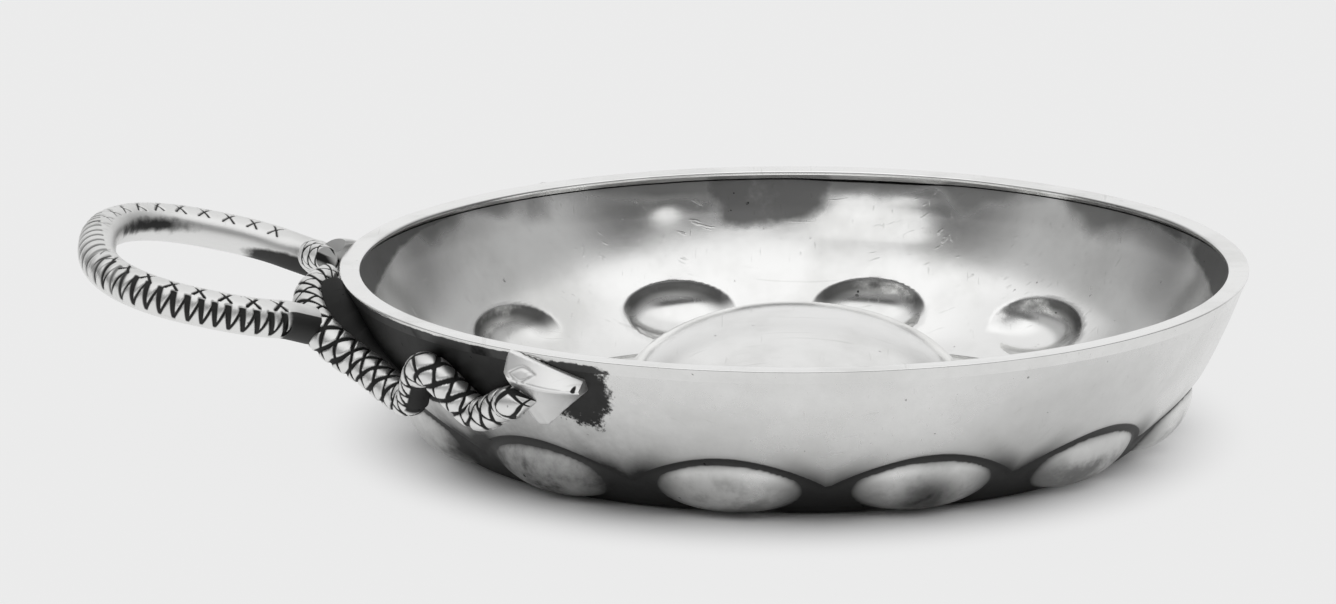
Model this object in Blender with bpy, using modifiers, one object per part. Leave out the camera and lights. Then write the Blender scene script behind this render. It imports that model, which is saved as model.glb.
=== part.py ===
"""Silver wine tasting cup with a finger ring held by two serpents.

The bowl is one raised sheet: a round dome in the middle of the floor and twelve oval bosses pushed
out around the turn from floor to wall. A rim strip sits on the wall, two cast serpents lie on the
outside of the wall, and the finger ring ends on the serpents' loops. Metres, +Z up, foot on Z = 0.
"""
import math

import bmesh
import bpy
from mathutils import Vector

MM = 0.001

# Bowl: sizes of the outside of the sheet
RIM_RADIUS = 47.5 * MM
CUP_HEIGHT = 17.8 * MM
SHEET_GAUGE = 1.0 * MM
WALL_FLARE = 0.46
WALL_FOOT_HEIGHT = 6.8 * MM
FOOT_OUTER_RADIUS = 35.4 * MM
FOOT_INNER_RADIUS = 24.0 * MM
DOME_RADIUS = 17.4 * MM
DOME_RISE = 8.9 * MM
DOME_SPRING_HEIGHT = 3.3 * MM

# Bosses around the turn: their middle and half length are shares of the turn's length
BOSS_COUNT = 12
BOSS_FIRST_ANGLE = math.radians(-10.0)
BOSS_HALF_WIDTH = 7.6 * MM
BOSS_RISE = 1.6 * MM
BOSS_MIDDLE = 0.45
BOSS_HALF_LENGTH = 0.44

# Rim strip
STRIP_WIDTH = 2.3 * MM
STRIP_DEPTH = 1.5 * MM
STRIP_ROUND = 0.3 * MM

# Serpents: half width of the body, and the head
BODY_RADIUS = 1.8 * MM
TAIL_SHARE = 0.66
HEAD_HALF_WIDTH = 4.2 * MM
HEAD_TURN = math.radians(9.4)

# Finger ring
RING_TUBE_RADIUS = 2.2 * MM
RING_STAND = 12.8 * MM
RING_HALF_LENGTH = 12.3 * MM
RING_HALF_WIDTH = 16.4 * MM
RING_SQUARENESS = 2.5
RING_TILT = 0.19
RING_ROLL = 0.025

# How far the far serpent is turned on around the wall, and how much higher its loop sits
REAR_TURN = math.radians(3.6)
REAR_LIFT = 0.9 * MM
REAR_LIFT_ENDS = math.radians(45.0)

# Fit between soldered pieces
JOINT_GAP = 0.3 * MM

# Mesh steps
BOSS_STEPS = 8
BODY_SIDES = 12
STEPS_PER_STATION = 4

AROUND = BOSS_COUNT * BOSS_STEPS
WALL_TILT = math.atan(WALL_FLARE)


def clear_scene():
    for item in list(bpy.data.objects):
        bpy.data.objects.remove(item, do_unlink=True)


def new_collection(name):
    group = bpy.data.collections.new(name)
    bpy.context.scene.collection.children.link(group)
    return group


def new_material(name, colour, roughness):
    material = bpy.data.materials.new(name)
    material.use_nodes = True
    shader = material.node_tree.nodes["Principled BSDF"]
    shader.inputs["Base Color"].default_value = (*colour, 1.0)
    shader.inputs["Metallic"].default_value = 1.0
    shader.inputs["Roughness"].default_value = roughness
    return material


def add_object(name, mesh, group, material=None):
    item = bpy.data.objects.new(name, mesh)
    group.objects.link(item)
    if material:
        mesh.materials.append(material)
    return item


def mesh_from(name, points, faces):
    mesh = bpy.data.meshes.new(name)
    mesh.from_pydata(points, [], faces)
    shape = bmesh.new()
    shape.from_mesh(mesh)
    bmesh.ops.remove_doubles(shape, verts=shape.verts, dist=0.00001)
    bmesh.ops.recalc_face_normals(shape, faces=shape.faces)
    shape.to_mesh(mesh)
    shape.free()
    return mesh


def wall_radius(height):
    """Radius of the wall's outside at a height."""
    return RIM_RADIUS - WALL_FLARE * (CUP_HEIGHT - height)


def strip_seat_height():
    """Height, on the outside of the wall, where the sheet ends under the rim strip."""
    return CUP_HEIGHT - STRIP_DEPTH


# Bowl

def bowl_profile():
    """Outside of the sheet from the dome's top to the rim strip, as radius and height."""
    points = []
    for step in range(5):
        angle = math.radians(90.0 - step * 18.5)
        points.append((DOME_RADIUS * math.cos(angle), DOME_SPRING_HEIGHT + DOME_RISE * math.sin(angle)))
    fillet = FOOT_INNER_RADIUS - DOME_RADIUS
    points.append((DOME_RADIUS + 0.12 * fillet, DOME_SPRING_HEIGHT * 0.75))
    points.append((DOME_RADIUS + 0.42 * fillet, DOME_SPRING_HEIGHT * 0.2))
    points.append((FOOT_INNER_RADIUS, 0.0))
    points.append((FOOT_OUTER_RADIUS, 0.0))
    turn_top = (wall_radius(WALL_FOOT_HEIGHT), WALL_FOOT_HEIGHT)
    turn_foot = (FOOT_OUTER_RADIUS + 0.9 * MM, 0.2 * MM)
    for step in range(8):
        share = step / 7.0
        points.append(
            (
                turn_foot[0] + (turn_top[0] - turn_foot[0]) * share,
                turn_foot[1] + (turn_top[1] - turn_foot[1]) * share,
            )
        )
    for share in (0.5, 1.0):
        height = WALL_FOOT_HEIGHT + (strip_seat_height() - WALL_FOOT_HEIGHT) * share
        points.append((wall_radius(height), height))
    return points, turn_foot, turn_top


def boss_lift(radius, height, angle, turn_foot, turn_top):
    """How far a point of the turn is pushed out, and its direction as radius and height."""
    run = turn_top[0] - turn_foot[0]
    climb = turn_top[1] - turn_foot[1]
    length = math.hypot(run, climb)
    along = ((radius - turn_foot[0]) * run + (height - turn_foot[1]) * climb) / length
    middle = length * BOSS_MIDDLE
    pitch = 2.0 * math.pi / BOSS_COUNT
    offset = (angle - BOSS_FIRST_ANGLE + pitch / 2.0) % pitch - pitch / 2.0
    across = offset * (turn_foot[0] + run * BOSS_MIDDLE)
    spread = (across / BOSS_HALF_WIDTH) ** 2 + ((along - middle) / (length * BOSS_HALF_LENGTH)) ** 2
    lift = BOSS_RISE * math.sqrt(max(0.0, 1.0 - spread))
    return lift, climb / length, -run / length


def build_bowl(group, material):
    profile, turn_foot, turn_top = bowl_profile()
    points = [(0.0, 0.0, profile[0][1])]
    for radius, height in profile[1:]:
        for step in range(AROUND):
            angle = BOSS_FIRST_ANGLE + step * 2.0 * math.pi / AROUND
            lift, out, down = boss_lift(radius, height, angle, turn_foot, turn_top)
            reach = radius + lift * out
            points.append((reach * math.sin(angle), -reach * math.cos(angle), height + lift * down))
    faces = []
    for step in range(AROUND):
        following = (step + 1) % AROUND
        faces.append((0, 1 + following, 1 + step))
        for row in range(len(profile) - 2):
            here = 1 + row * AROUND
            there = here + AROUND
            faces.append((here + step, here + following, there + following, there + step))
    mesh = bpy.data.meshes.new("bowl")
    mesh.from_pydata(points, [], faces)
    bowl = add_object("bowl", mesh, group, material)
    sheet = bowl.modifiers.new("sheet", "SOLIDIFY")
    sheet.thickness = SHEET_GAUGE
    sheet.offset = -1.0
    sheet.use_even_offset = True
    return bowl


# Rim strip

def build_rim(group, material):
    seat = strip_seat_height()
    along = (math.sin(WALL_TILT), math.cos(WALL_TILT))
    inward = (-math.cos(WALL_TILT), math.sin(WALL_TILT))
    foot = (wall_radius(seat) + along[0] * JOINT_GAP, seat + along[1] * JOINT_GAP)
    inner_foot = (foot[0] + inward[0] * SHEET_GAUGE, foot[1] + inward[1] * SHEET_GAUGE)
    inner_edge = RIM_RADIUS - STRIP_WIDTH
    profile = [
        (inner_edge + STRIP_ROUND, CUP_HEIGHT),
        (RIM_RADIUS - STRIP_ROUND, CUP_HEIGHT),
        (RIM_RADIUS, CUP_HEIGHT - STRIP_ROUND),
        foot,
        inner_foot,
        (inner_edge, CUP_HEIGHT - STRIP_ROUND),
    ]
    points = [(radius, 0.0, height) for radius, height in profile]
    edges = [(index, (index + 1) % len(points)) for index in range(len(points))]
    mesh = bpy.data.meshes.new("rim_strip")
    mesh.from_pydata(points, edges, [])
    rim = add_object("rim_strip", mesh, group, material)
    turning = rim.modifiers.new("turning", "SCREW")
    turning.axis = "Z"
    turning.steps = AROUND
    turning.render_steps = AROUND
    turning.use_merge_vertices = True
    turning.merge_threshold = 0.00005
    turning.use_normal_calculate = True
    return rim


# Serpents

def serpent_stations():
    """Turn around the wall in degrees, height as a share of the cup's, stand-off in body radii."""
    return [
        (0.4, 0.955, 0.0, TAIL_SHARE),
        (6.2, 0.955, 0.72, 0.86),
        (11.7, 0.90, 0.72, 1.0),
        (14.5, 0.805, 0.68, 1.0),
        (16.9, 0.69, 0.25, 1.0),
        (20.4, 0.60, 0.0, 1.0),
        (27.2, 0.485, 0.0, 1.0),
        (36.6, 0.765, 0.0, 1.0),
        (44.4, 0.55, 0.0, 1.0),
        (52.6, 0.70, 0.0, 0.95),
    ]


def blend(values, share):
    """Smooth curve through the two middle values of four."""
    before, start, end, after = values
    slope_in = (end - before) / 2.0
    slope_out = (after - start) / 2.0
    square = share * share
    cube = square * share
    return (
        (2.0 * cube - 3.0 * square + 1.0) * start
        + (cube - 2.0 * square + share) * slope_in
        + (3.0 * square - 2.0 * cube) * end
        + (cube - square) * slope_out
    )


def wall_place(turn, height, stand, side):
    """Point at a distance from the wall's outside, and the wall's normal there."""
    if side < 0.0:
        height += REAR_LIFT * max(0.0, 1.0 - turn / REAR_LIFT_ENDS)
        turn += REAR_TURN
    reach = wall_radius(height) + stand / math.cos(WALL_TILT)
    around = Vector((-math.cos(turn), -side * math.sin(turn), 0.0))
    normal = around * math.cos(WALL_TILT) - Vector((0.0, 0.0, math.sin(WALL_TILT)))
    return around * reach + Vector((0.0, 0.0, height)), normal


def serpent_rows(side):
    """Body and head as rows of place, normal, half width, front depth, back depth, roundness."""
    stations = serpent_stations()
    padded = [stations[0]] + stations + [stations[-1]]
    rows = []
    last = len(stations) - 1
    for index in range(last):
        four = padded[index:index + 4]
        for step in range(STEPS_PER_STATION + (index == last - 1)):
            share = step / STEPS_PER_STATION
            turn, height, lift, thick = (blend(column, share) for column in zip(*four))
            rows.append(body_row(math.radians(turn), height * CUP_HEIGHT, lift, thick, side))
    return rows + head_rows(side, stations[-1])


def body_row(turn, height, lift, thick, side):
    radius = BODY_RADIUS * thick
    stand = radius + JOINT_GAP + max(0.0, lift) * BODY_RADIUS
    place, normal = wall_place(turn, height, stand, side)
    return place, normal, radius, radius, radius, 2.0


def head_rows(side, neck):
    """Flat faceted head: widest just past the neck, a ridge along its top, a blunt snout."""
    shape = [
        (0.16, 0.0, 0.86, 0.9),
        (0.30, 0.0, 1.0, 1.1),
        (0.60, 0.02, 0.72, 1.15),
        (0.88, 0.05, 0.36, 0.9),
        (1.0, 0.055, 0.2, 0.62),
    ]
    rows = []
    start = math.radians(neck[0])
    for share, climb, width, depth in shape:
        height = (neck[1] + 0.075 + climb) * CUP_HEIGHT
        front = BODY_RADIUS * depth
        stand = BODY_RADIUS * 0.75 + JOINT_GAP
        place, normal = wall_place(start + HEAD_TURN * share, height, stand, side)
        rows.append((place, normal, HEAD_HALF_WIDTH * width, front, BODY_RADIUS * 0.75, 1.25))
    return rows


def sweep(name, rows, swell):
    """Closed body through the rows, each row a rounded outline across the path."""
    points = []
    for index, (place, normal, width, front, back, roundness) in enumerate(rows):
        ahead = rows[min(index + 1, len(rows) - 1)][0]
        behind = rows[max(index - 1, 0)][0]
        path = (ahead - behind).normalized()
        across = normal.cross(path).normalized()
        out = path.cross(across).normalized()
        for step in range(BODY_SIDES):
            angle = 2.0 * math.pi * step / BODY_SIDES
            wide = math.copysign(abs(math.cos(angle)) ** (2.0 / roundness), math.cos(angle))
            deep = math.copysign(abs(math.sin(angle)) ** (2.0 / roundness), math.sin(angle))
            depth = front if deep > 0.0 else back
            points.append(place + across * wide * (width + swell) + out * deep * (depth + swell))
    faces = [tuple(range(BODY_SIDES))]
    for row in range(len(rows) - 1):
        for step in range(BODY_SIDES):
            following = (step + 1) % BODY_SIDES
            here = row * BODY_SIDES
            there = here + BODY_SIDES
            faces.append((here + step, here + following, there + following, there + step))
    end = (len(rows) - 1) * BODY_SIDES
    faces.append(tuple(range(end + BODY_SIDES - 1, end - 1, -1)))
    return mesh_from(name, points, faces)


# Finger ring

def ring_rows(front_loop, rear_loop):
    """Oval path that rises away from the cup, with both ends on the serpents' loops."""
    rows = []
    turns = 27
    limit = math.radians(122.0)
    power = 2.0 / RING_SQUARENESS
    middle_height = (front_loop.z + rear_loop.z) / 2.0
    end_reach = -(front_loop.x + rear_loop.x) / 2.0
    path = []
    for step in range(turns):
        angle = limit - 2.0 * limit * step / (turns - 1)
        inward = math.copysign(abs(math.cos(angle)) ** power, math.cos(angle))
        sideways = math.copysign(abs(math.sin(angle)) ** power, math.sin(angle))
        reach = RIM_RADIUS + RING_STAND + RING_HALF_LENGTH * inward
        width = -RING_HALF_WIDTH * sideways
        height = middle_height + (reach - end_reach) * RING_TILT + width * RING_ROLL
        path.append(Vector((-reach, width, height)))
    path.insert(0, ring_end(front_loop, path[0]))
    path.append(ring_end(rear_loop, path[-1]))
    tilt = Vector((RING_TILT, 0.0, 1.0)).normalized()
    for place in path:
        rows.append((place, tilt, RING_TUBE_RADIUS, RING_TUBE_RADIUS, RING_TUBE_RADIUS, 2.0))
    return rows


def ring_end(loop, neighbour):
    """End of the ring's path: inside the serpent's body, short of its middle, so the cope is clean."""
    return loop + (neighbour - loop).normalized() * BODY_RADIUS * 0.6


def cut(target, cutter):
    cope = target.modifiers.new("cope_" + cutter.name, "BOOLEAN")
    cope.operation = "DIFFERENCE"
    cope.solver = "EXACT"
    cope.object = cutter


def build_handle(group, cutters, ring_silver, serpent_silver):
    loops = []
    ring_cutters = []
    for name, side in (("serpent_front", 1.0), ("serpent_rear", -1.0)):
        rows = serpent_rows(side)
        add_object(name, sweep(name, rows, 0.0), group, serpent_silver)
        cutter = add_object(name + "_seat", sweep(name + "_seat", rows, JOINT_GAP), cutters)
        cutter.hide_render = True
        cutter.display_type = "WIRE"
        ring_cutters.append(cutter)
        loops.append(rows[STEPS_PER_STATION * 2 + 2][0])
    ring = add_object("finger_ring", sweep("finger_ring", ring_rows(*loops), 0.0), group, ring_silver)
    for cutter in ring_cutters:
        cut(ring, cutter)


def centre_on_foot(group, cutters):
    """Moves everything so the middle of the part's box is over the origin."""
    bpy.context.view_layer.update()
    graph = bpy.context.evaluated_depsgraph_get()
    reach = []
    for item in group.objects:
        for vertex in item.evaluated_get(graph).data.vertices:
            reach.append(vertex.co.x)
    shift = -(min(reach) + max(reach)) / 2.0
    for item in list(group.objects) + list(cutters.objects):
        item.location.x = shift


clear_scene()
parts = new_collection("wine_tasting_cup")
tools = new_collection("cutters")
sheet_silver = new_material("sheet_silver", (0.86, 0.85, 0.83), 0.18)
strip_silver = new_material("strip_silver", (0.88, 0.87, 0.85), 0.16)
cast_silver = new_material("cast_silver", (0.78, 0.77, 0.75), 0.3)
ring_silver = new_material("ring_silver", (0.80, 0.79, 0.77), 0.26)
build_bowl(parts, sheet_silver)
build_rim(parts, strip_silver)
build_handle(parts, tools, ring_silver, cast_silver)
centre_on_foot(parts, tools)
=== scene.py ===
"""Looks of the silver wine tasting cup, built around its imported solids."""

import math

import bmesh
import bpy
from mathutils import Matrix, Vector, noise


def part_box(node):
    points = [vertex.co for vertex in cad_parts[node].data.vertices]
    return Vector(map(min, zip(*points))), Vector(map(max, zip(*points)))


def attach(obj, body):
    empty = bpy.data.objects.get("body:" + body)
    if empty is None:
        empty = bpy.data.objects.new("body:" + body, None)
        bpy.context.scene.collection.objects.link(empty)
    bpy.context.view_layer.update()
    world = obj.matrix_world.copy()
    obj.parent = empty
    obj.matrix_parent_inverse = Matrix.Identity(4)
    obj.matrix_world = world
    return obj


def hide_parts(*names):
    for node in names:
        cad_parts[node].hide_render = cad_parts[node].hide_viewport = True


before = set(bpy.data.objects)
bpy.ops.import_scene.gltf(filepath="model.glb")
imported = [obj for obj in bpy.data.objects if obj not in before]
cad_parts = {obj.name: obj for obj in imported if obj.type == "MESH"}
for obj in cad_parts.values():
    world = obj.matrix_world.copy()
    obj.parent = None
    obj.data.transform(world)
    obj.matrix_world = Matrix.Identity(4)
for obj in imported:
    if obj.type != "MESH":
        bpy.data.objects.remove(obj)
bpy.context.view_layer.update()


# Bowl
# One round of silver sheet, raised with the hammer: a dome in the middle of the floor, and twelve oval
# bosses pushed out around the turn from floor to wall, each with a chased line over its top.
# The sheet is about 1 mm thick, polished, and dark where the polishing cloth does not reach.

mm = 0.001
rim_low, rim_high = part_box("rim_strip")
axis_x = (rim_low[0] + rim_high[0]) / 2.0
rim_radius = 47.5 * mm
cup_height = 17.8 * mm
sheet_gauge = 1.0 * mm
wall_flare = 0.46
wall_tilt = math.atan(wall_flare)
wall_foot_height = 6.8 * mm
wall_bow = 0.22 * mm
strip_depth = 1.5 * mm
strip_seat = cup_height - strip_depth
foot_inner_radius = 24.2 * mm
foot_outer_radius = 35.4 * mm
dome_radius = 17.4 * mm
dome_rise = 8.9 * mm
dome_spring = 3.3 * mm
turn_foot = (foot_outer_radius + 0.9 * mm, 0.2 * mm)
round_steps = 384


def wall_radius(height):
    return rim_radius - wall_flare * (cup_height - height)


turn_top = (wall_radius(wall_foot_height), wall_foot_height)
turn_run = turn_top[0] - turn_foot[0]
turn_climb = turn_top[1] - turn_foot[1]
turn_length = math.hypot(turn_run, turn_climb)


def straight(start, end, steps):
    return [
        (start[0] + (end[0] - start[0]) * step / steps, start[1] + (end[1] - start[1]) * step / steps)
        for step in range(1, steps + 1)
    ]


def sheet_profile():
    """Outside of the sheet from the dome's top to the strip, as radius and height."""
    points = []
    for step in range(19):
        angle = math.radians(90.0 - step * 4.1)
        points.append((dome_radius * math.cos(angle), dome_spring + dome_rise * math.sin(angle)))
    start = points[-1]
    below_start = (start[0] + 1.45 * mm, start[1] - 2.6 * mm)
    handles = (start, below_start, (20.8 * mm, 0.0), (foot_inner_radius, 0.0))
    for step in range(1, 13):
        share = step / 12.0
        rest = 1.0 - share
        weights = (rest ** 3, 3.0 * rest * rest * share, 3.0 * rest * share * share, share ** 3)
        points.append(tuple(sum(w * h[i] for w, h in zip(weights, handles)) for i in (0, 1)))
    points += straight(points[-1], (foot_outer_radius, 0.0), 6)
    points += straight(points[-1], turn_foot, 2)
    soft_from = len(points) - 1
    points += straight(points[-1], turn_top, 34)
    soft_to = len(points) + 13
    wall_top = (wall_radius(strip_seat), strip_seat)
    for step, (radius, height) in enumerate(straight(turn_top, wall_top, 20), 1):
        points.append((radius + wall_bow * math.sin(math.pi * step / 20.0), height))
    for _ in range(40):
        soft = list(points)
        for index in range(soft_from, soft_to):
            soft[index] = tuple(
                (points[index - 1][i] + 2.0 * points[index][i] + points[index + 1][i]) / 4.0 for i in (0, 1)
            )
        points = soft
    return points


boss_count = 12
boss_pitch = math.radians(360.0 / boss_count)
boss_first = math.radians(10.0)
boss_drift = math.radians(1.8)
boss_share = 0.45
boss_middle = turn_length * boss_share
boss_half_length = turn_length * 0.46
boss_half_width = 7.7 * mm
boss_rise = 1.6 * mm
dish_size = 0.9
dish_rise = 0.7 * mm
dish_narrow = 1.16
line_top = turn_length * 0.98
line_sag = 0.047
line_depth = 0.22 * mm


def boss_place(radius, height, angle):
    """Distance along the turn from its foot, and across from the middle of the nearest boss."""
    along = ((radius - turn_foot[0]) * turn_run + (height - turn_foot[1]) * turn_climb) / turn_length
    drift = boss_drift * max(0.0, -math.cos(angle))
    offset = (angle + boss_first + drift + boss_pitch / 2.0) % boss_pitch - boss_pitch / 2.0
    return along, offset * (turn_foot[0] + turn_run * boss_share)


def boss_lift(along, across, size):
    spread = (across / boss_half_width) ** 2 + ((along - boss_middle) / boss_half_length) ** 2
    return boss_rise * max(0.0, 1.0 - spread / size ** 2) ** 0.8


def chased_line(along, across):
    """1 in the middle of the line that arches over a boss, falling to 0 beside it."""
    above = along / mm - line_top / mm + line_sag * (across / mm) ** 2
    return math.exp(-(above / 0.55) ** 2)


def hammered(point, amount):
    """Waves that the hammer and the years have left in the sheet."""
    return amount * (noise.noise(point * 62.0) + 0.35 * noise.noise(point * 170.0))


def clamped(value):
    return max(0.0, min(1.0, value))


def from_rear(angle):
    """Degrees from the middle of the far wall, growing to the left."""
    return math.degrees(abs(angle) - math.pi) * math.copysign(1.0, angle)


def darkened_inside(angle, height):
    """Dark on the inside of the wall: a patch that hangs from the lip at the back, a band at each side."""
    behind = from_rear(angle)
    patch_foot, patch_height = 10.6 * mm, 5.4 * mm
    depth = clamped((height - patch_foot) / patch_height)
    middle, half_width = 5.6 - 2.9 * depth, 9.4 * depth ** 0.4
    patch = clamped((half_width - abs(behind - middle)) / 5.0 + 0.4) * min(1.0, depth * 3.0)
    band_depth = 4.8 * mm * math.exp(-((abs(behind) - 90.0) / 26.0) ** 2)
    band_edge = 0.9 * mm
    return max(patch, clamped((height - strip_seat + band_depth) / band_edge))


def dented(angle, height):
    """How far a broad dent and a small one push the inside of the far wall out."""
    behind = from_rear(angle)
    broad_foot, broad_top, broad_slope = 10.5 * mm, 15.2 * mm, 0.095
    broad = max(0.0, min(height, broad_top) - broad_foot) * broad_slope
    broad *= math.exp(-((behind + 11.0) / 8.5) ** 4)
    small_depth, small_height, mm_per_degree = 0.2 * mm, 14.6 * mm, 0.78
    from_small = math.hypot((behind - 18.0) * mm_per_degree, (height - small_height) / mm)
    return broad + small_depth * math.exp(-(from_small / 1.5) ** 2)


def shaped(name, bm):
    """Closes a finished mesh and puts it in the scene as a piece that rides on the cup."""
    bmesh.ops.remove_doubles(bm, verts=bm.verts, dist=0.002 * mm)
    bmesh.ops.recalc_face_normals(bm, faces=bm.faces)
    for face in bm.faces:
        face.smooth = True
    mesh = bpy.data.meshes.new(name)
    bm.to_mesh(mesh)
    bm.free()
    mesh.set_sharp_from_angle(angle=math.radians(48.0))
    piece = bpy.data.objects.new(name, mesh)
    bpy.context.scene.collection.objects.link(piece)
    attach(piece, "root")
    return piece


def build_sheet():
    outside = sheet_profile()
    inside = []
    for index, (radius, height) in enumerate(outside):
        before = outside[max(index - 1, 0)]
        after = outside[min(index + 1, len(outside) - 1)]
        run, climb = after[0] - before[0], after[1] - before[1]
        length = math.hypot(run, climb)
        inside.append((max(0.0, radius - climb / length * sheet_gauge), height + run / length * sheet_gauge))
    inside[0] = (0.0, inside[0][1])
    bm = bmesh.new()
    base_radius = bm.verts.layers.float.new("base_radius")
    base_height = bm.verts.layers.float.new("base_height")
    boss_along = bm.verts.layers.float.new("boss_along")
    boss_across = bm.verts.layers.float.new("boss_across")
    outer = bm.verts.layers.float.new("outer")
    inner_dark = bm.verts.layers.float.new("inner_dark")
    loop = []
    for side, points in ((1.0, outside), (0.0, inside[::-1])):
        bases = outside if side else outside[::-1]
        for (radius, height), base in zip(points, bases):
            vert = bm.verts.new((axis_x + radius, 0.0, height))
            vert[base_radius], vert[base_height] = base
            vert[outer] = side
            loop.append(vert)
    edges = [bm.edges.new((first, second)) for first, second in zip(loop, loop[1:])]
    bmesh.ops.spin(
        bm, geom=loop + edges, cent=(axis_x, 0.0, 0.0), axis=(0.0, 0.0, 1.0),
        angle=2.0 * math.pi, steps=round_steps, use_merge=True,
    )
    for vert in bm.verts:
        place = vert.co - Vector((axis_x, 0.0, 0.0))
        angle = math.atan2(place.x, -place.y)
        around = Vector((math.sin(angle), -math.cos(angle), 0.0))
        along, across = boss_place(vert[base_radius], vert[base_height], angle)
        vert[boss_along], vert[boss_across] = along / mm, abs(across) / mm
        # The hammer's waves die out on the dome and under the strip.
        calm = clamped((vert[base_radius] - 18.0 * mm) / (10.0 * mm))
        calm *= clamped((strip_seat - vert[base_height]) / (2.0 * mm))
        if vert[outer] > 0.5:
            push = boss_lift(along, across, 1.0) - line_depth * chased_line(along, across)
            push += hammered(vert.co, 0.05 * mm) * calm
        else:
            push = boss_lift(along - dish_rise, across * dish_narrow, dish_size)
            push += hammered(vert.co, 0.1 * mm) * calm
            if vert[base_radius] > foot_outer_radius:
                push += dented(angle, vert[base_height])
                vert[inner_dark] = darkened_inside(angle, vert[base_height])
            else:
                # The dome is as high as the wall, but has none of the wall's darkening under the lip.
                vert[base_height] = 0.0
        out = around * (turn_climb / turn_length) - Vector((0.0, 0.0, turn_run / turn_length))
        vert.co += out * push
        vert.co.z = max(vert.co.z, 0.0)
    return shaped("bowl_sheet", bm)


class Socket:
    """A node's output. Arithmetic on it adds Math nodes to the same finish."""

    def __init__(self, finish, socket):
        self.finish = finish
        self.socket = socket

    def math(self, operation, *values):
        return self.finish.node("Math", {"operation": operation}, dict(enumerate(values)))

    def __add__(self, other):
        return self.math("ADD", self, other)

    __radd__ = __add__

    def __sub__(self, other):
        return self.math("SUBTRACT", self, other)

    def __rsub__(self, other):
        return self.math("SUBTRACT", other, self)

    def __mul__(self, other):
        return self.math("MULTIPLY", self, other)

    __rmul__ = __mul__

    def __abs__(self):
        return self.math("ABSOLUTE", self)

    def __pow__(self, other):
        return self.math("POWER", self, other)

    def larger(self, other):
        return self.math("MAXIMUM", self, other)

    def clip(self):
        return self.finish.node("Clamp", {}, {0: self})

    def between(self, low, high):
        """0 below low, 1 above high, and a smooth step from one to the other."""
        inputs = {0: self, 1: low, 2: high, 3: 0.0, 4: 1.0}
        return self.finish.node("MapRange", {"interpolation_type": "SMOOTHSTEP"}, inputs)

    def beside(self, output):
        """Another output of the same node."""
        return Socket(self.finish, self.socket.node.outputs[output])


class Finish:
    """The node tree of one material, or of the room that lights it."""

    def __init__(self, owner):
        self.owner = owner
        owner.use_nodes = True
        self.tree = owner.node_tree
        self.last = next(n for n in self.tree.nodes if n.type in ("BSDF_PRINCIPLED", "BACKGROUND"))

    def node(self, kind, settings, inputs, output=0):
        made = self.tree.nodes.new("ShaderNode" + kind)
        for key, value in settings.items():
            setattr(made, key, value)
        for key, value in inputs.items():
            self.feed(made.inputs[key], value)
        return Socket(self, made.outputs[output])

    def feed(self, socket, value):
        if isinstance(value, Socket):
            self.tree.links.new(value.socket, socket)
        else:
            socket.default_value = value

    def shade(self, **values):
        for key, value in values.items():
            self.feed(self.last.inputs[key.replace("_", " ")], value)

    def glow(self, share, strength):
        """Shows the surface at an even brightness, for the given share."""
        lit = self.node("Emission", {}, {"Strength": strength})
        shader = self.node("MixShader", {}, {0: share, 1: Socket(self, self.last.outputs[0]), 2: lit})
        self.feed(self.tree.get_output_node("ALL").inputs["Surface"], shader)

    def coords(self):
        return self.node("TexCoord", {}, {}, "Object")

    def attribute(self, name):
        return self.node("Attribute", {"attribute_name": name}, {}, "Fac")

    def noise(self, where, scale, detail=2.0, roughness=0.5):
        inputs = {"Vector": where, "Scale": scale, "Detail": detail, "Roughness": roughness}
        return self.node("TexNoise", {}, inputs)

    def stretched(self, where, scale, turn):
        return self.node("Mapping", {}, {0: where, 2: turn, 3: scale})

    def distance(self, where, place):
        return self.node("VectorMath", {"operation": "DISTANCE"}, {0: where, 1: place}, 1)

    def blend(self, share, first, second):
        """Mix of two colours."""
        return self.node("Mix", {"data_type": "RGBA"}, {0: share, 6: first, 7: second}, 2)


def silver_layers(finish, tone, dirt_and_shade, polish, veil):
    """Old polished silver: clouds of thin tarnish, hair scratches, pits, and dirt held in the recesses,
    blended towards black together with any painted shade in the mask.
    """
    where = finish.coords()
    clouds = finish.noise(where, 85.0, 4.0, 0.6)
    fine = finish.noise(where, 900.0, 3.0)
    hairs = finish.noise(finish.stretched(where, (60.0, 2600.0, 900.0), (0.3, 0.2, 0.9)), 1.0, 2.0)
    streaks = finish.noise(finish.stretched(where, (2400.0, 110.0, 700.0), (0.1, 0.5, 2.2)), 1.0, 2.0)
    scratch = (hairs.between(0.66, 0.74) + streaks.between(0.68, 0.75)).clip()
    pits = finish.noise(where, 800.0, 2.0).between(0.745, 0.79)
    thin = clouds.between(0.42, 0.75)
    bright = (tone, tone, tone * 0.992, 1.0)
    dull = (tone * 0.80, tone * 0.80, tone * 0.785, 1.0)
    film = (0.68, 0.68, 0.67, 1.0)
    black = (0.013, 0.013, 0.013, 1.0)
    colour = finish.blend((thin * 0.75 + scratch * 0.35).clip(), bright, dull)
    colour = finish.blend(veil, colour, film)
    # Dirt, pits and any painted shade in the mask are blended towards black here.
    dirt_shade_and_pits = (dirt_and_shade + pits * 0.5).clip()
    colour = finish.blend(dirt_shade_and_pits, colour, black)
    rough = polish + thin * 0.05 + fine * 0.03 + scratch * 0.06 + veil * 0.12 + dirt_shade_and_pits * 0.3
    height = fine * 0.25 + scratch * -0.5 + clouds * 0.6
    bump = finish.node("Bump", {}, {"Strength": 0.06, "Distance": 0.2 * mm, "Height": height})
    finish.shade(Base_Color=colour, Roughness=rough.clip(), Metallic=1.0, Normal=bump)


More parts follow.
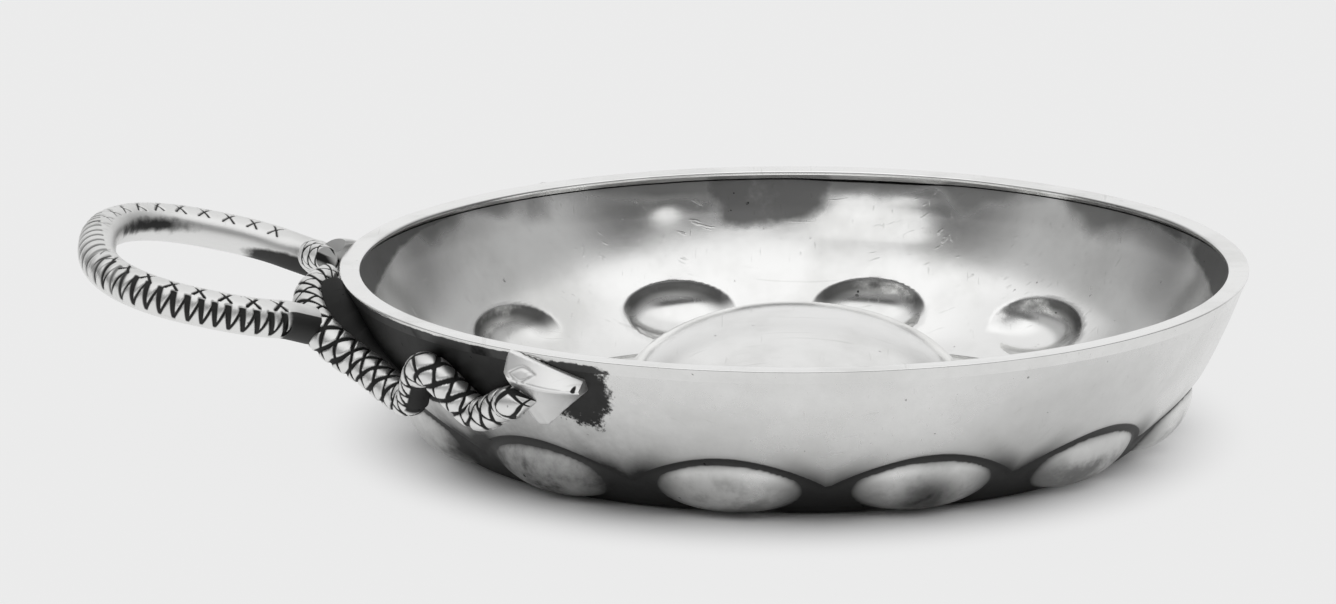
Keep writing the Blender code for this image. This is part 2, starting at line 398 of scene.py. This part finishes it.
bowl = build_sheet()
sheet_finish = Finish(bpy.data.materials.new("sheet_silver"))
sheet_place = sheet_finish.coords()
ragged = sheet_finish.noise(sheet_place, 700.0, 4.0, 0.65)
clouded = sheet_finish.noise(sheet_place, 130.0, 5.0, 0.62)
patches = sheet_finish.noise(sheet_place, 75.0, 2.0, 0.45)
spatter = sheet_finish.noise(sheet_place, 2400.0, 3.0, 0.7)

# The outside holds dirt in the chased lines and between the bosses, with painted shade in the grooves of the
# lines, in the hollows between the bosses and above each cusp, and is dull on some bosses.
along = sheet_finish.attribute("boss_along")
across = sheet_finish.attribute("boss_across")
above_line = along - line_top / mm + across ** 2.0 * line_sag
# Dark chased line: dirt held in it, and painted shade of its groove.
line_dirt_and_shade = 1.0 - (abs(above_line) + (ragged - 0.5) * 0.25).between(0.22, 0.7)
level = (along - boss_middle / mm) * (mm / boss_half_length)
spread = (across * (mm / boss_half_width)) ** 2.0 + abs(level) ** 2.0
# Dark hollows between the bosses, below the lines: dirt, and painted shade of the shadow under the cup.
hollow_dirt_and_shade = spread.between(0.8, 1.25) * (1.0 - above_line.between(-0.1, 0.6)) * along.between(-1.5, 0.5)
# Painted shade: a soft dark saddle above each cusp between two bosses.
shade = (1.0 - above_line.between(0.0, 4.5)) * across.between(3.5, 9.5) * 0.75
blotch = (1.0 - spread.between(0.1, 0.95)) * (clouded - level * 0.1).between(0.42, 0.64) * 0.5
from_spot = sheet_finish.distance(sheet_place, (axis_x + 13.4 * mm, -37.4 * mm, 3.0 * mm))
dull_spot = 1.0 - (from_spot + (clouded - 0.5) * (6.0 * mm)).between(0.4 * mm, 4.6 * mm)
from_side = sheet_finish.distance(sheet_place, (axis_x + 27.0 * mm, -31.0 * mm, 3.0 * mm))
dull_side = 1.0 - from_side.between(6.0 * mm, 24.0 * mm)
blotch = blotch + dull_spot * 0.8 + dull_side * (clouded * 0.2 + 0.14)
# Soot and painted shade: the lower wall and bosses below the serpents are darker.
soot_and_shade = sheet_finish.attribute("soot_and_shade") * (clouded * 0.8 + ragged * 0.4) * 1.1
outer_dirt_and_shade = (line_dirt_and_shade * 0.9 + hollow_dirt_and_shade * 0.86 + shade + blotch + soot_and_shade).clip() * 0.93

# The inside is dark under the lip, and the upper edge of each dish gets a painted dark reflection.
wall_height = sheet_finish.attribute("base_height") * (1.0 / mm)
under_lip = (wall_height + (patches - 0.5) * 13.0 + (clouded - 0.5) * 3.0).between(14.0, 16.4) * 0.62
inner_dark = sheet_finish.attribute("inner_dark")
inner_dark_edge = (inner_dark + (patches - 0.5) * 0.8 + (clouded - 0.5) * 1.6).between(0.2, 0.85)
upper_dark = under_lip.larger(inner_dark_edge * inner_dark.between(0.0, 0.2) * 0.76)
dish_level = level - dish_rise / boss_half_length
dish = (across * (mm * dish_narrow / boss_half_width)) ** 2.0 + abs(dish_level) ** 2.0
# Painted dark reflection along the upper edge of each dish.
dish_dark_reflection = dish.between(0.2, 0.62) * (1.0 - dish.between(0.8, 0.92)) * dish_level.between(-0.2, 0.4) * 0.8
inner_dark_and_reflection = upper_dark + dish_dark_reflection * clouded.between(0.3, 0.5)

# The heat stain lies over all of it; under the wave's arch it also paints the shade in the gap below the
# body.
stain = sheet_finish.attribute("stain")
stain_edge = (ragged - 0.5) * 1.4 + (spatter - 0.5) * 0.9 + (clouded - 0.5)
heat_stain_and_shade = (stain + stain_edge).between(0.28, 0.74) * stain.between(0.01, 0.1)
outside = sheet_finish.attribute("outer")
# The sheet's mask carries dirt, stain and painted shade together.
sheet_dirt_and_shade = (outside * outer_dirt_and_shade + (1.0 - outside) * inner_dark_and_reflection).clip()
sheet_dirt_and_shade = sheet_dirt_and_shade.larger(heat_stain_and_shade * (clouded * 0.08 + 0.915))
silver_layers(sheet_finish, 0.9, sheet_dirt_and_shade, 0.16, outside * (ragged * 0.4 + 0.35))
bowl.data.materials.append(sheet_finish.owner)
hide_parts("bowl")


# Rim strip
# A flat silver strip soldered on the wall's top edge, which makes the lip twice as thick as the sheet.
# Its edges are rounded a little by use, and its top is the brightest place on the cup.

strip_width = 2.3 * mm
strip_round = 0.28 * mm
strip_inner_depth = 0.45 * mm


def build_strip():
    along = (math.sin(wall_tilt), math.cos(wall_tilt))
    foot = (wall_radius(strip_seat), strip_seat)
    inner_foot = (foot[0] - along[1] * sheet_gauge, foot[1] + along[0] * sheet_gauge)
    inner_edge = rim_radius - strip_width
    corners = [
        (inner_edge, cup_height),
        (rim_radius, cup_height),
        foot,
        inner_foot,
        (inner_edge, cup_height - strip_inner_depth),
    ]
    bm = bmesh.new()
    loop = [bm.verts.new((axis_x + radius, 0.0, height)) for radius, height in corners]
    bm.faces.new(loop)
    bmesh.ops.bevel(
        bm, geom=[loop[0], loop[1]], offset=strip_round, offset_type="OFFSET", segments=5, profile=0.5,
        affect="VERTICES", material=-1,
    )
    bmesh.ops.delete(bm, geom=list(bm.faces), context="FACES_ONLY")
    bmesh.ops.subdivide_edges(bm, edges=list(bm.edges), cuts=1)
    bmesh.ops.spin(
        bm, geom=list(bm.verts) + list(bm.edges), cent=(axis_x, 0.0, 0.0), axis=(0.0, 0.0, 1.0),
        angle=2.0 * math.pi, steps=round_steps, use_merge=True,
    )
    outer = bm.verts.layers.float.new("outer")
    for vert in bm.verts:
        radius = math.hypot(vert.co.x - axis_x, vert.co.y)
        vert[outer] = float(radius > wall_radius(vert.co.z) - 0.06 * mm)
        if vert.co.z > cup_height - 0.6 * mm:
            vert.co.z -= 0.03 * mm + 0.03 * mm * noise.noise(vert.co * 110.0)
    return shaped("rim_lip", bm)


rim = build_strip()
strip_finish = Finish(bpy.data.materials.new("strip_silver"))
strip_place = strip_finish.coords()
strip_ragged = strip_finish.noise(strip_place, 700.0, 4.0, 0.65)
worn = strip_finish.noise(strip_place, 160.0, 4.0, 0.6).between(0.6, 0.8) * 0.1
strip_veil = strip_finish.attribute("outer") * (strip_ragged * 0.4 + 0.35)
strip_stain = strip_finish.attribute("stain")
strip_edge = (strip_stain + (strip_ragged - 0.5) * 1.4).between(0.34, 0.62)
strip_dirt = (worn + strip_edge * strip_stain.between(0.01, 0.1) * 0.92).clip()
silver_layers(strip_finish, 0.92, strip_dirt, 0.13, strip_veil)
rim.data.materials.append(strip_finish.owner)
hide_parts("rim_strip")


# Serpents
# Two cast silver serpents, chased with lozenge scales, that loop out from the lip to carry the ring and
# then lie in waves along the wall to a flat plain head. They are soldered down, and the heat has left a
# black stain on the wall around them.

body_radius = 1.8 * mm
path_steps = 50
rear_turn = math.radians(3.6)
rear_lift = 0.9 * mm
rear_lift_ends = math.radians(45.0)

# Degrees around the wall from the handle, share of the cup's height, and then lift off the wall and half
# width as shares of body_radius.
serpent_stations = [
    (0.4, 0.955, 0.0, 0.66),
    (6.2, 0.91, 1.0, 0.90),
    (11.7, 0.825, 1.45, 1.06),
    (14.5, 0.75, 1.35, 1.08),
    (16.9, 0.67, 0.95, 1.06),
    (20.4, 0.585, 0.32, 1.03),
    (29.0, 0.49, 0.0, 1.0),
    (37.2, 0.765, 0.0, 1.0),
    (44.4, 0.55, 0.0, 1.0),
    (50.6, 0.655, 0.0, 0.98),
    (53.2, 0.69, 0.5, 0.92),
    (55.6, 0.70, 0.85, 0.06),
]


def smooth_through(values, share):
    """Smooth curve through the two middle values of four."""
    before, start, end, after = values
    square, cube = share * share, share ** 3
    return (
        (2.0 * cube - 3.0 * square + 1.0) * start
        + (cube - 2.0 * square + share) * (end - before) / 2.0
        + (3.0 * square - 2.0 * cube) * end
        + (cube - square) * (after - start) / 2.0
    )


def wall_place(turn, height, stand, side):
    """Point at a distance from the wall's outside, and the wall's normal there."""
    if side < 0.0:
        height += rear_lift * max(0.0, 1.0 - turn / rear_lift_ends)
        turn += rear_turn
    reach = wall_radius(height) + stand / math.cos(wall_tilt)
    around = Vector((-math.cos(turn), -side * math.sin(turn), 0.0))
    normal = around * math.cos(wall_tilt) - Vector((0.0, 0.0, math.sin(wall_tilt)))
    return Vector((axis_x, 0.0, 0.0)) + around * reach + Vector((0.0, 0.0, height)), normal


def serpent_path(side):
    """Rows from the tail at the lip to the point on the neck.

    A row is a place, the wall's normal, and the half width, distance from the wall and station number.
    """
    padded = [serpent_stations[0]] + serpent_stations + [serpent_stations[-1]]
    rows = []
    last = len(serpent_stations) - 1
    for index in range(last):
        four = padded[index:index + 4]
        for step in range(path_steps + (index == last - 1)):
            share = step / path_steps
            turn, height, lift, thick = (smooth_through(column, share) for column in zip(*four))
            radius = body_radius * thick
            stand = radius + 0.03 * mm + max(0.0, lift) * body_radius
            place, normal = wall_place(math.radians(turn), height * cup_height, stand, side)
            rows.append((place, normal, (radius, stand, index + share)))
    return rows


def lofted(bm, rows, sides, outline):
    """Skin through the rows: a grid whose two long edges are joined and whose ends are filled."""
    made = bmesh.ops.create_grid(bm, x_segments=len(rows) - 1, y_segments=sides, size=0.5)["verts"]
    frames = []
    travelled = 0.0
    for index, (place, normal, size) in enumerate(rows):
        ahead = rows[min(index + 1, len(rows) - 1)][0]
        behind = rows[max(index - 1, 0)][0]
        path = (ahead - behind).normalized()
        across = normal.cross(path).normalized()
        out = path.cross(across).normalized()
        if index:
            travelled += (place - rows[index - 1][0]).length
        frames.append((place, across, out, size, travelled))
    for vert in made:
        row = min(len(rows) - 1, max(0, round((vert.co.x + 0.5) * (len(rows) - 1))))
        turn = round((vert.co.y + 0.5) * sides) % sides / sides
        place, across, out, size, distance = frames[row]
        sideways, outward = outline(vert, turn, size, distance)
        vert.co = place + across * sideways + out * outward
    bmesh.ops.remove_doubles(bm, verts=made, dist=0.001 * mm)
    bmesh.ops.holes_fill(bm, edges=[edge for edge in bm.edges if edge.is_boundary], sides=0)


def groove(distance, half_width):
    """1 along the middle of a cut, 0 beyond its edges."""
    return max(0.0, 1.0 - (distance / half_width) ** 2)


scale_pitch = 2.0 * mm
scale_starts = 3.0
scale_cut = 0.12
arch_from, arch_to = 6.1, 6.8
web_rows = slice(45, 275)
web_half_width = 0.7 * mm
web_root = 0.15 * mm
head_steps = 90
head_length = 8.1


def build_serpent(side, name):
    bm = bmesh.new()
    cut = bm.verts.layers.float.new("cut")
    plain = bm.verts.layers.float.new("plain")

    def scaled_body(vert, turn, size, distance):
        radius, _, station = size
        angle = 2.0 * math.pi * turn
        ring_place = Vector((distance * 260.0, math.cos(angle), math.sin(angle)))
        wander = 0.2 * noise.noise(ring_place)
        cut_and_shade = 0.0
        for way in (1.0, -1.0):
            phase = distance / scale_pitch + way * scale_starts * turn + wander * way
            uneven = noise.noise(ring_place * 1.7 + Vector((way * 5.0, 0.0, 0.0)))
            width = (0.25 + 0.05 * way + 0.1 * uneven) * mm
            width *= min(1.0, 1.1 * radius / body_radius)
            cut_and_shade = max(cut_and_shade, groove(abs(phase - round(phase)) * 1.6 * mm, width))
        # Painted shade: the neck's point is darkened along both sides, and the body's underside inside the
        # wave's arch is black, for the shade and the solder there.
        if radius < 0.9 * body_radius and distance > 30.0 * mm:
            cut_and_shade = max(cut_and_shade, clamped((abs(math.cos(angle)) - 0.92) / 0.06))
        arch = min((station - arch_from) / 0.12, (arch_to - station) / 0.15)
        under = min(arch, (-0.3 - math.cos(angle)) / 0.2)
        cut_and_shade = max(cut_and_shade, min(1.0, under))
        vert[cut] = cut_and_shade
        girth = radius * (1.0 - scale_cut * cut_and_shade)
        return girth * math.cos(angle), girth * math.sin(angle)

    path = serpent_path(side)
    lofted(bm, path, 64, scaled_body)

    def solder_web(vert, turn, size, distance):
        radius, stand, _ = size
        angle = 2.0 * math.pi * turn
        start = 0.55 * radius
        half = max(0.1 * mm, (stand - start) / 2.0 + web_root)
        # The web is black on the near serpent, for solder stain and painted shade in the gap behind the
        # loop, and only a little dark on the far one.
        vert[cut] = 1.0 if side > 0.0 else 0.2
        return web_half_width * math.cos(angle), half * math.sin(angle) - half - start

    lofted(bm, path[web_rows], 24, solder_web)

    rows = []
    for step in range(head_steps + 1):
        share = step / head_steps
        turn = math.radians(52.2 + 10.4 * share)
        place, normal = wall_place(turn, (0.785 + 0.05 * share) * cup_height, 0.05 * mm, side)
        rows.append((place, normal, share))

    def head(vert, turn, share, distance):
        grow = min(1.0, (share + 0.03) / 0.1)
        taper = max(0.0, (share - 0.08) / 0.92)
        upper = (4.2 - 3.5 * taper ** 1.05) * mm * (0.75 + 0.25 * grow)
        lower = -(5.0 - 4.4 * max(0.0, (share - 0.22) / 0.78)) * mm * (0.75 + 0.25 * grow)
        high = (1.6 + 0.9 * math.sin(math.pi * min(1.0, 0.18 + 0.75 * share))) * mm * (0.7 + 0.3 * grow)
        edge = 0.4 * mm
        ridge = (2.2 - 2.05 * share) * mm
        ridge_half = 0.2 * mm
        corners = [
            (lower, 0.0), (lower, edge), (ridge - ridge_half, high), (ridge + ridge_half, high),
            (upper, edge), (upper, 0.0),
        ]
        lengths = [math.dist(a, b) for a, b in zip(corners, corners[1:] + corners[:1])]
        left = turn * sum(lengths)
        index = 0
        while left > lengths[index] and index < len(corners) - 1:
            left -= lengths[index]
            index += 1
        start, end = corners[index], corners[(index + 1) % len(corners)]
        part = left / lengths[index]
        sideways = start[0] + (end[0] - start[0]) * part
        outward = start[1] + (end[1] - start[1]) * part
        if outward > edge / 2.0:
            eye_along = (share - 0.27) * head_length / 1.35
            eye = abs(eye_along) ** 1.4 + abs(sideways / mm - 2.3 + 0.2 * eye_along) / 0.5
            ring = groove(abs(eye - 1.0), 0.3)
            nostril = groove(math.hypot((share - 0.93) * head_length, sideways / mm - 0.45), 0.3)
            seam = groove(abs(sideways - ridge + ridge_half), 0.1 * mm) * (share > 0.2)
            vert[cut] = max(ring * 0.27, nostril, seam * 0.25)
            outward -= 0.14 * mm * max(ring, nostril, 0.4 * seam)
        vert[plain] = 1.0
        return sideways * side, outward

    lofted(bm, rows, 120, head)
    return shaped(name, bm)


serpent_finish = Finish(bpy.data.materials.new("cast_silver"))
# Dirt in the scale cuts, and the painted shade and black web that the same cut attribute carries.
scale_dirt_and_shade = serpent_finish.attribute("cut").between(0.12, 0.62) * 0.96
smooth_head = serpent_finish.attribute("plain")
silver_layers(serpent_finish, 0.9, scale_dirt_and_shade, 0.36 + smooth_head * 0.06, 0.3 - smooth_head * 0.3)
for side, name, node in ((1.0, "serpent_near", "serpent_front"), (-1.0, "serpent_far", "serpent_rear")):
    serpent = build_serpent(side, name)
    serpent.data.materials.append(serpent_finish.owner)
    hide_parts(node)


def stain_the_wall(piece):
    """Heat stain: black from the serpents up to the lip, and around each snout, and under the wave's arch
    also painted shade; below the serpents, soot with painted shade.
    """
    stain = piece.data.attributes.new("stain", "FLOAT", "POINT")
    soot_and_shade = piece.data.attributes.new("soot_and_shade", "FLOAT", "POINT")
    outer = piece.data.attributes["outer"].data
    lip_bottom = cup_height - 0.3 * mm
    for vert in piece.data.vertices:
        side = 1.0 if vert.co.y < 0.0 else -1.0
        turn = math.degrees(math.atan2(-side * vert.co.y, axis_x - vert.co.x))
        if outer[vert.index].value < 0.5 or turn > 95.0 or vert.co.z > lip_bottom:
            continue
        # Soot with painted shade, centred low on the wall below the serpents.
        below = math.hypot((turn - 44.0) * 0.43, (vert.co.z - 0.2 * cup_height) / mm * 1.3)
        soot_and_shade.data[vert.index].value = math.exp(-(below / 12.0) ** 2)
        # Below the wave's arch the stain reaches under the body, painting the shade in the gap there as well
        # as the stain.
        lowest = (0.5 + 0.025 * max(0.0, turn - 45.5)) * cup_height - 0.5 * mm
        amount = 1.7 * clamped((vert.co.z - lowest) / (0.8 * mm)) * clamped((55.5 - turn) / 2.0)
        snout = math.hypot((turn - 60.8) * 0.83, (vert.co.z - 0.80 * cup_height) / mm * 1.08)
        halo = 1.25 * clamped((6.2 - snout) / 4.2) * (turn > 55.0)
        stain.data[vert.index].value = max(amount, halo)


stain_the_wall(bowl)
stain_the_wall(rim)


# Finger ring
# A cast silver ring of oval plan for the finger, soldered to the serpents' loops. Its outer side is cut
# with a deep zigzag and its top with a row of crosses. The inside and the two ends are plain.

ring_tube = 2.0 * mm
ring_stand = 12.8 * mm
ring_half_length = 12.3 * mm
ring_half_width = 16.4 * mm
ring_bend = 0.8
ring_span = math.radians(122.0)
ring_lift = 0.75 * mm
ring_slope = 0.205
ring_roll = 0.025
ring_steps = 900
loop_row = path_steps * 5 // 2


def ring_path():
    """Oval that rises away from the cup, with both ends on the serpents' loops."""
    loops = [serpent_path(side)[loop_row][0] for side in (1.0, -1.0)]
    middle_height = (loops[0].z + loops[1].z) / 2.0
    end_reach = axis_x - (loops[0].x + loops[1].x) / 2.0
    places = []
    for step in range(401):
        angle = ring_span - 2.0 * ring_span * step / 400
        inward = math.copysign(abs(math.cos(angle)) ** ring_bend, math.cos(angle))
        sideways = math.copysign(abs(math.sin(angle)) ** ring_bend, math.sin(angle))
        reach = rim_radius + ring_stand + ring_half_length * inward
        width = -ring_half_width * sideways
        height = middle_height + ring_lift + (reach - end_reach) * ring_slope + width * ring_roll
        places.append(Vector((axis_x - reach, width, height)))
    ends = []
    for loop, near in ((loops[0], places[0]), (loops[1], places[-1])):
        end = loop + (near - loop).normalized() * body_radius * 0.6
        ends.append([end.lerp(near, step / 24.0) for step in range(24)])
    places = ends[0] + places + ends[1][::-1]
    for _ in range(30):
        inner = [(a + b * 2.0 + c) / 4.0 for a, b, c in zip(places, places[1:], places[2:])]
        places = [places[0]] + inner + [places[-1]]
    lengths = [0.0]
    for first, second in zip(places, places[1:]):
        lengths.append(lengths[-1] + (second - first).length)
    even = []
    index = 0
    for step in range(ring_steps + 1):
        want = lengths[-1] * step / ring_steps
        while index < len(lengths) - 2 and lengths[index + 1] < want:
            index += 1
        share = (want - lengths[index]) / (lengths[index + 1] - lengths[index])
        even.append(places[index].lerp(places[index + 1], share))
    return even, lengths[-1]


engraving_depth = 0.26 * mm
plain_end = 3.6 * mm
stroke_pitch = 1.36 * mm
rib_pitch = 1.9 * mm
cross_pitch = 2.75 * mm


def build_ring():
    places, length = ring_path()
    rows = [(place, Vector((ring_slope, 0.0, 1.0)).normalized(), ring_tube) for place in places]
    bm = bmesh.new()
    cut = bm.verts.layers.float.new("cut")
    smoke_and_reflection = bm.verts.layers.float.new("smoke_and_reflection")

    def zigzag_cut(face, distance):
        """Zigzag on the outer side, which leans over the top and softens to ribs around the bend."""
        lean = math.exp(-((distance / length - 0.455) / 0.18) ** 2)
        band, half_band = 45.0 * lean - 9.0, 46.0 + 22.0 * lean
        if abs(face - band) >= half_band:
            return 0.0
        level = (face - band) / (2.0 * half_band - 8.0) + 0.5
        stroke = distance / stroke_pitch % 1.0
        steep = abs(stroke - 0.34 * level)
        slant = abs(1.0 - stroke - 0.66 * level)
        steep = min(steep, 1.0 - steep)
        slant = min(slant, 1.0 - slant)
        sharp = max(groove(steep, 0.16 + 0.16 * level), groove(slant, 0.13))
        rib = (distance / rib_pitch - 0.34 * level) % 1.0
        soft = groove(min(rib, 1.0 - rib), 0.33) * 0.44
        return (sharp + (soft - sharp) * lean) * min(1.0, (half_band - abs(face - band)) / 5.0)

    def cross_cut(face, distance):
        """Row of crosses on top, fainter at the bend and on the far half."""
        roll = 60.0 + 58.0 * distance / length
        lift = (face - roll) / 24.0
        if abs(lift) >= 1.0:
            return 0.0
        spot = (distance - length / 2.0) / cross_pitch
        beside = (spot - round(spot)) * cross_pitch / mm
        arms = min(abs(beside - lift * 0.65), abs(beside + lift * 0.65))
        bend_fade = min(1.0, abs(distance / length - 0.45) / 0.16)
        return groove(arms, 0.24) * bend_fade * (0.62 if distance > 0.5 * length else 1.0)

    def smoked_and_reflected(face, distance):
        """Dark of the soldering heat near both ends, and a painted dark reflection inside the far half."""
        rear_end = length - distance
        tip = clamped((4.6 * mm - distance) / (1.2 * mm)) * (-75.0 < face < 40.0)
        low = clamped((200.0 - face % 360.0) / 25.0 + rear_end / (9.0 * mm) - 0.6)
        far_tip = clamped((9.5 * mm - rear_end) / (4.0 * mm)) * (abs(face) > 100.0) * (1.0 - low)
        # Painted dark reflection on the inside of the far half.
        along_patch = (distance / length - 0.695) / 0.115
        around_patch = (face % 360.0 - 170.0) / 28.0
        return max(tip, far_tip, 0.75 * math.exp(-along_patch ** 4 - around_patch ** 2))

    def engraved(vert, turn, radius, distance):
        angle = math.radians(360.0 * turn)
        across, up = math.cos(angle), math.sin(angle)
        face = math.degrees(math.atan2(up, across))
        fade = clamped((min(distance, length - distance) - plain_end) / (0.3 * mm))
        depth = max(zigzag_cut(face, distance), cross_cut(face, distance)) * fade
        vert[cut] = depth
        vert[smoke_and_reflection] = smoked_and_reflected(face, distance)
        girth = radius - engraving_depth * depth
        return girth * across, girth * up

    lofted(bm, rows, 84, engraved)
    return shaped("ring", bm)


ring = build_ring()
ring_finish = Finish(bpy.data.materials.new("ring_silver"))
ring_ragged = ring_finish.noise(ring_finish.coords(), 900.0, 3.0)
ring_smoke_and_reflection = (ring_finish.attribute("smoke_and_reflection") + (ring_ragged - 0.5) * 0.6).between(0.25, 0.75)
ring_dirt_and_reflection = (ring_finish.attribute("cut").between(0.15, 0.6) * 0.95 + ring_smoke_and_reflection * 0.92).clip()
silver_layers(ring_finish, 0.89, ring_dirt_and_reflection, 0.32, 0.3)
ring.data.materials.append(ring_finish.owner)
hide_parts("finger_ring")


# Floor, light and camera
# A pale sweep of paper under soft light from above, with grey walls around and a dark room behind the
# camera, as silver is usually photographed. The camera stands where the photograph was taken from.

bm = bmesh.new()
bmesh.ops.create_grid(bm, x_segments=40, y_segments=40, size=4.0)
bmesh.ops.translate(bm, verts=bm.verts, vec=(0.0, 0.0, -0.05 * mm))
floor_mesh = bpy.data.meshes.new("floor")
bm.to_mesh(floor_mesh)
bm.free()
floor = bpy.data.objects.new("floor", floor_mesh)
bpy.context.scene.collection.objects.link(floor)
paper_white = 0.84
shadow_shape = (1.085, 0.96, 1.0)
shadow_middle = ((axis_x - 0.8 * mm) * shadow_shape[0], 0.0, 0.0)
paper = Finish(bpy.data.materials.new("paper"))
paper_place = paper.coords()
grain = paper.noise(paper_place, 40.0, 3.0)
paper.shade(
    Base_Color=paper.blend(grain, (0.87, 0.87, 0.87, 1.0), (0.9, 0.9, 0.9, 1.0)),
    Roughness=grain * 0.1 + 0.85,
)
away = paper.distance(paper.stretched(paper_place, shadow_shape, (0.0, 0.0, 0.0)), shadow_middle)
looked_at = paper.node("LightPath", {}, {}, "Is Camera Ray")
mirrored = looked_at.beside("Is Glossy Ray")
clear = (looked_at + mirrored).clip() * away.between(35.5 * mm, 53.5 * mm) * 0.96
paper.glow(clear, paper_white)
floor.data.materials.append(paper.owner)

room_world = bpy.data.worlds.new("room")
bpy.context.scene.world = room_world
room = Finish(room_world)
sideways = room.node("SeparateXYZ", {}, {0: room.node("TexCoord", {}, {}, "Generated")})
ahead = sideways.beside(1)
above = sideways.beside(2)
sideways = abs(sideways)
front = (0.0 - ahead).between(0.25, 0.6)
behind = ahead.between(0.5, 0.95)
front_edge = above.between(0.575, 0.61)
ceiling = above.between(0.49, 0.64) * (1.0 - front) + front_edge * front
window = front_edge * (0.1 - ahead).between(0.0, 0.3) * (1.0 - sideways.between(0.6, 0.85))
dim = above.between(0.16, 0.40) * 0.26 + 0.08
fill = (1.0 - above.between(0.34, 0.44)) * 0.3 + 0.05
sides = sideways.between(0.45, 0.85) * above.between(0.05, 0.3)
low = (dim + sides * 0.12) * (1.0 - front) + fill * front
walls = low * (1.0 - behind) + behind * 0.84
strength = walls * (1.0 - ceiling) + ceiling * 0.86 + window * 0.2
seen = room.node("LightPath", {}, {}, "Is Camera Ray")
room.shade(Color=(1.0, 1.0, 1.0, 1.0), Strength=strength * (1.0 - seen) + seen * paper_white)

photo_width = 1336.0
photo_scale = 9.6 / mm
eye_distance = 2.6
tilt = math.radians(13.05)
aim_left, aim_down = 126.0 / photo_scale, 35.5 / photo_scale / math.cos(tilt)
eye = Vector((axis_x, -eye_distance * math.cos(tilt), cup_height + eye_distance * math.sin(tilt)))
aim = Vector((axis_x - aim_left, 0.0, cup_height - aim_down))
lens = bpy.data.cameras.new("camera")
lens.sensor_width = 36.0
lens.lens = photo_scale * eye_distance / photo_width * lens.sensor_width
lens.clip_start = 0.05
lens.clip_end = 20.0
camera = bpy.data.objects.new("camera", lens)
camera.location = eye
camera.rotation_euler = (aim - eye).to_track_quat("-Z", "Y").to_euler()
bpy.context.scene.collection.objects.link(camera)
bpy.context.scene.camera = camera
bpy.context.scene.view_settings.view_transform = "Standard"
